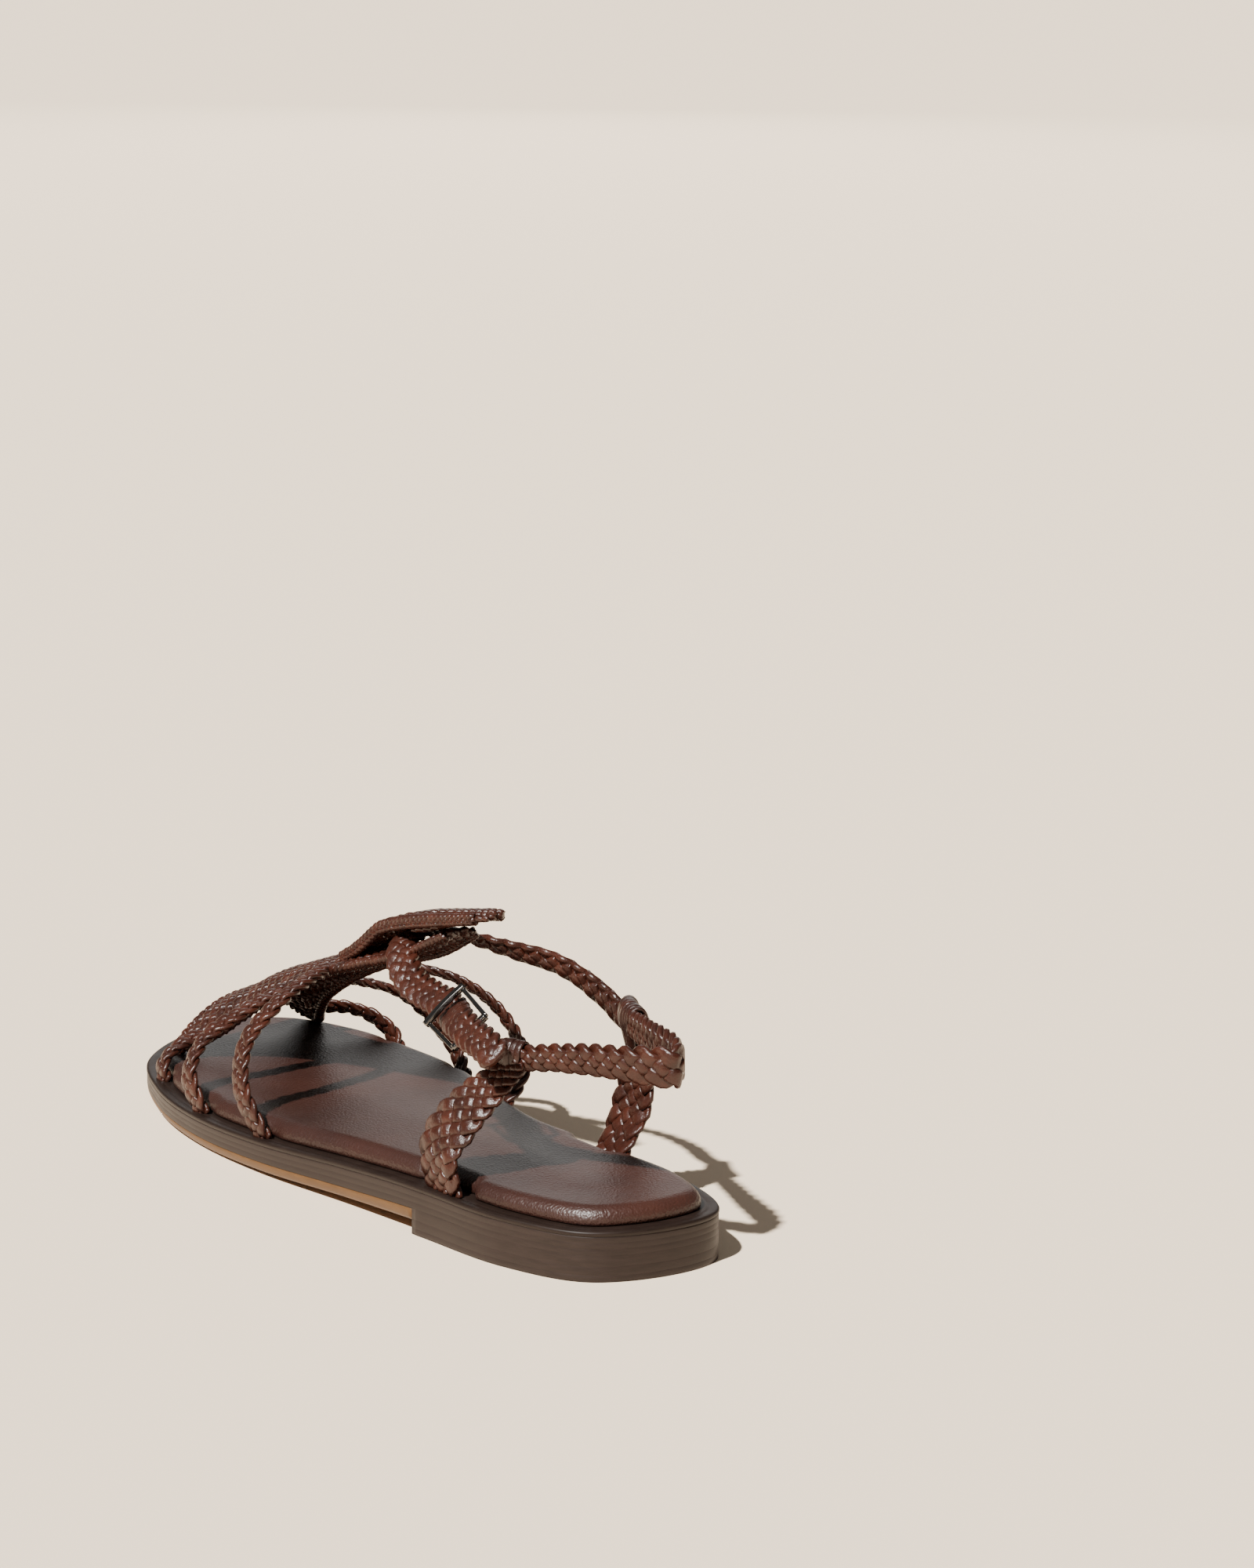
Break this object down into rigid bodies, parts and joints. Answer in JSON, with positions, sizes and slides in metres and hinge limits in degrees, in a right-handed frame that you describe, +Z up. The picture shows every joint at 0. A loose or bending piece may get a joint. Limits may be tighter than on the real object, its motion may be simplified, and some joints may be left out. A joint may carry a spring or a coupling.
{
  "type": "sandal",
  "caption": "Left flat slingback sandal of braided brown leather: woven vamp and tongue, three braided toe straps a side, buckled ankle strap and swinging heel strap.",
  "frame": {"origin": "centre of the sandal's bounding box, on the floor", "axes": "+Y towards the toe, +X towards the inner side of the foot, +Z up"},
  "size_m": [0.0882, 0.2508, 0.0766],
  "materials": {
    "braided_leather": "braided, semi-gloss",
    "smooth_leather": "smooth, semi-gloss",
    "footbed_leather": "pebbled, satin",
    "edge_leather": "burnished edge",
    "outsole_tan": "natural, matte",
    "padding": "foam, matte",
    "steel": "plain",
    "gunmetal": "dark gunmetal, polished"
  },
  "bodies": {
    "shoe": {"ankle_strap_lateral": "braided_leather", "ankle_strap_medial": "braided_leather", "buckle_strap": "braided_leather", "footbed_core": "padding", "footbed_cover": "footbed_leather", "heel_lift_lower": "edge_leather", "heel_lift_upper": "edge_leather", "heel_nails": "steel", "heel_top_piece": "edge_leather", "insole_board": "edge_leather", "lateral_quarter_loop": "braided_leather", "lateral_quarter_strap": "braided_leather", "lateral_toe_strap_1": "braided_leather", "lateral_toe_strap_2": "braided_leather", "lateral_toe_strap_3": "braided_leather", "medial_quarter_loop": "braided_leather", "medial_quarter_strap": "braided_leather", "medial_toe_strap_1": "braided_leather", "medial_toe_strap_2": "braided_leather", "medial_toe_strap_3": "braided_leather", "midsole": "edge_leather", "outsole": "outsole_tan", "shank": "steel", "strap_tip": "smooth_leather", "tongue": "braided_leather", "vamp_panel": "braided_leather", "welt": "edge_leather"},
    "heel_sling": {"heel_strap": "braided_leather"},
    "buckle": {"buckle_frame": "gunmetal"}
  },
  "joints": [
    {"name": "heel_strap_swing", "type": "hinge", "parent": "shoe", "child": "heel_sling", "pos_m": [0.00596, -0.07192, 0.04903], "axis": [0.9548, 0.294, 0.0442], "range_deg": [-30, 35]},
    {"name": "buckle_tilt", "type": "hinge", "parent": "shoe", "child": "buckle", "pos_m": [-0.01884, -0.06297, 0.05143], "axis": [0.6746, -0.2224, 0.7039], "range_deg": [0, 50]}
  ]
}
